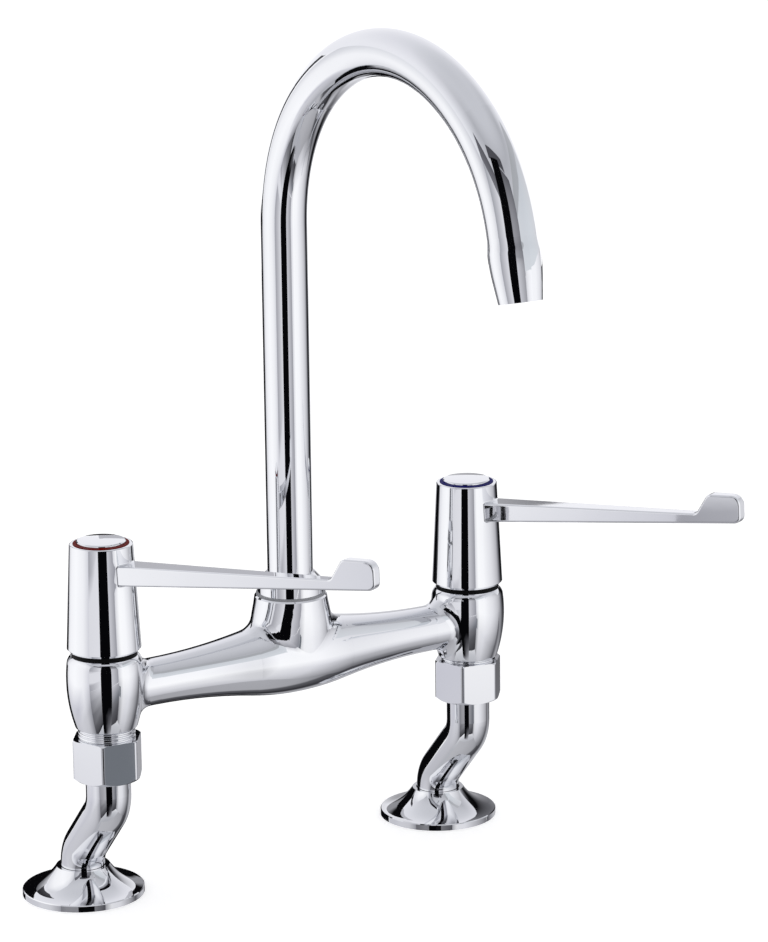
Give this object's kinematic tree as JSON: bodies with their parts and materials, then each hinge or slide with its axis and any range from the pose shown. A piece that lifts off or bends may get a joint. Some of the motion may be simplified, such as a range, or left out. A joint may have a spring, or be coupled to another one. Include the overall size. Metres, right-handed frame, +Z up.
{
  "type": "kitchen bridge mixer tap",
  "caption": "Deck-mounted chrome bridge mixer for a kitchen sink: swan-neck swivel spout, long elbow levers for hot and cold, cranked legs with union nuts and flanges.",
  "frame": {"origin": "midway between the two feet, on the deck that the flanges stand on", "axes": "+Z up, +X from the hot foot to the cold foot, -Y towards the user; the valve and spout axes stand 28 mm in front of the feet, at y = -0.028"},
  "size_m": [0.3012, 0.2611, 0.4212],
  "materials": {
    "chrome": "polished plate on brass",
    "chrome_cap": "polished plate on plastic",
    "brass": "machined",
    "alumina": "lapped",
    "rubber": "moulded",
    "black_nylon": "moulded",
    "grey_nylon": "moulded",
    "fibre": "pressed fibre",
    "steel": "stainless, machined",
    "white_plastic": "moulded",
    "red_ring": "moulded, dark red",
    "blue_ring": "moulded, dark blue"
  },
  "bodies": {
    "mixer_body": {"bridge_body": "chrome", "spout_grub_screw": "steel", "spout_glide_washer": "grey_nylon", "hot_cartridge_body": "brass", "hot_fixed_disc": "alumina", "hot_seat_seal": "rubber", "hot_bonnet_seal": "rubber", "hot_skirt_ring": "black_nylon", "hot_union_nut": "chrome", "hot_union_washer": "fibre", "cold_cartridge_body": "brass", "cold_fixed_disc": "alumina", "cold_seat_seal": "rubber", "cold_bonnet_seal": "rubber", "cold_skirt_ring": "black_nylon", "cold_union_nut": "chrome", "cold_union_washer": "fibre"},
    "hot_lever": {"hot_lever_handle": "chrome", "hot_index_ring": "red_ring", "hot_index_cap": "chrome_cap", "hot_handle_screw": "steel", "hot_spindle": "brass", "hot_spindle_clip": "steel", "hot_spindle_o_ring": "rubber", "hot_moving_disc": "alumina"},
    "hot_leg": {"hot_cranked_leg": "chrome", "hot_flange": "chrome", "hot_flange_seal": "rubber"},
    "cold_lever": {"cold_lever_handle": "chrome", "cold_index_ring": "blue_ring", "cold_index_cap": "chrome_cap", "cold_handle_screw": "steel", "cold_spindle": "brass", "cold_spindle_clip": "steel", "cold_spindle_o_ring": "rubber", "cold_moving_disc": "alumina"},
    "cold_leg": {"cold_cranked_leg": "chrome", "cold_flange": "chrome", "cold_flange_seal": "rubber"},
    "spout": {"spout_tube": "chrome", "spout_ferrule": "chrome", "spout_stub": "brass", "spout_lower_o_ring": "rubber", "spout_upper_o_ring": "rubber", "flow_straightener": "white_plastic"}
  },
  "joints": [
    {"name": "hot_lever_turn", "type": "hinge", "parent": "mixer_body", "child": "hot_lever", "pos_m": [-0.103, -0.028, 0.154], "axis": [0, 0, 1], "range_deg": [-90, 0]},
    {"name": "cold_lever_turn", "type": "hinge", "parent": "mixer_body", "child": "cold_lever", "pos_m": [0.103, -0.028, 0.154], "axis": [0, 0, 1], "range_deg": [-49.2, 40.8]},
    {"name": "spout_swivel", "type": "hinge", "parent": "mixer_body", "child": "spout", "pos_m": [0, -0.028, 0.14], "axis": [0, 0, 1], "continuous": true},
    {"name": "hot_leg_swivel", "type": "hinge", "parent": "mixer_body", "child": "hot_leg", "pos_m": [-0.103, -0.028, 0.075], "axis": [0, 0, 1], "range_deg": [-90, 90]},
    {"name": "cold_leg_swivel", "type": "hinge", "parent": "mixer_body", "child": "cold_leg", "pos_m": [0.103, -0.028, 0.075], "axis": [0, 0, 1], "range_deg": [-90, 90]}
  ]
}
